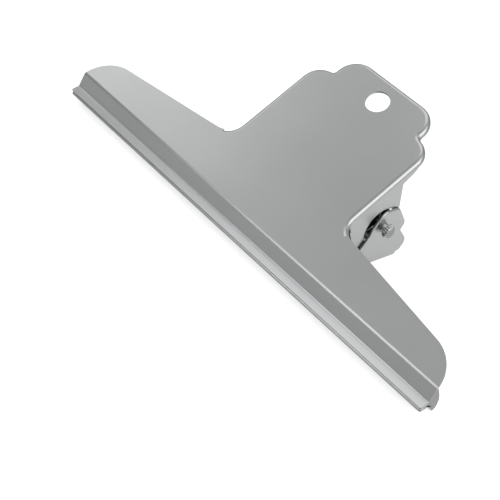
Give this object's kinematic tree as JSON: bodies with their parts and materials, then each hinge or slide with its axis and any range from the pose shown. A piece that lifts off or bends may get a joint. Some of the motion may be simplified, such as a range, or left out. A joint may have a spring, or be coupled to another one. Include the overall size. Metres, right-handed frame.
{
  "type": "spring clip",
  "caption": "Wide spring clip of two pressed steel leaves with T-shaped handles, hinged on a cross pin and shut by a torsion coil spring, with a hanging hole.",
  "frame": {"origin": "on the rear leaf's outer face, straight under the middle of the pin's axis", "axes": "+X along the jaw, +Y from the jaw towards the handles, +Z away from the face that the clip rests on, towards the front leaf"},
  "size_m": [0.145, 0.0517, 0.0407],
  "materials": {
    "nickel_steel": "satin nickel plate on pressed sheet steel",
    "pin_steel": "bright nickel plate, ends spread by a toothed punch",
    "black_wire": "oiled black spring wire"
  },
  "bodies": {
    "rear": {"rear_leaf": "nickel_steel", "pivot_pin": "pin_steel", "torsion_spring": "black_wire"},
    "front": {"front_leaf": "nickel_steel"}
  },
  "joints": [
    {"name": "clip_hinge", "type": "hinge", "parent": "rear", "child": "front", "pos_m": [0, 0, 0.0134], "axis": [-1, 0, 0], "range_deg": [0, 34], "stiffness_Nm_per_rad": 0.05, "springref_deg": -34.38, "deforming": ["torsion_spring"]}
  ]
}
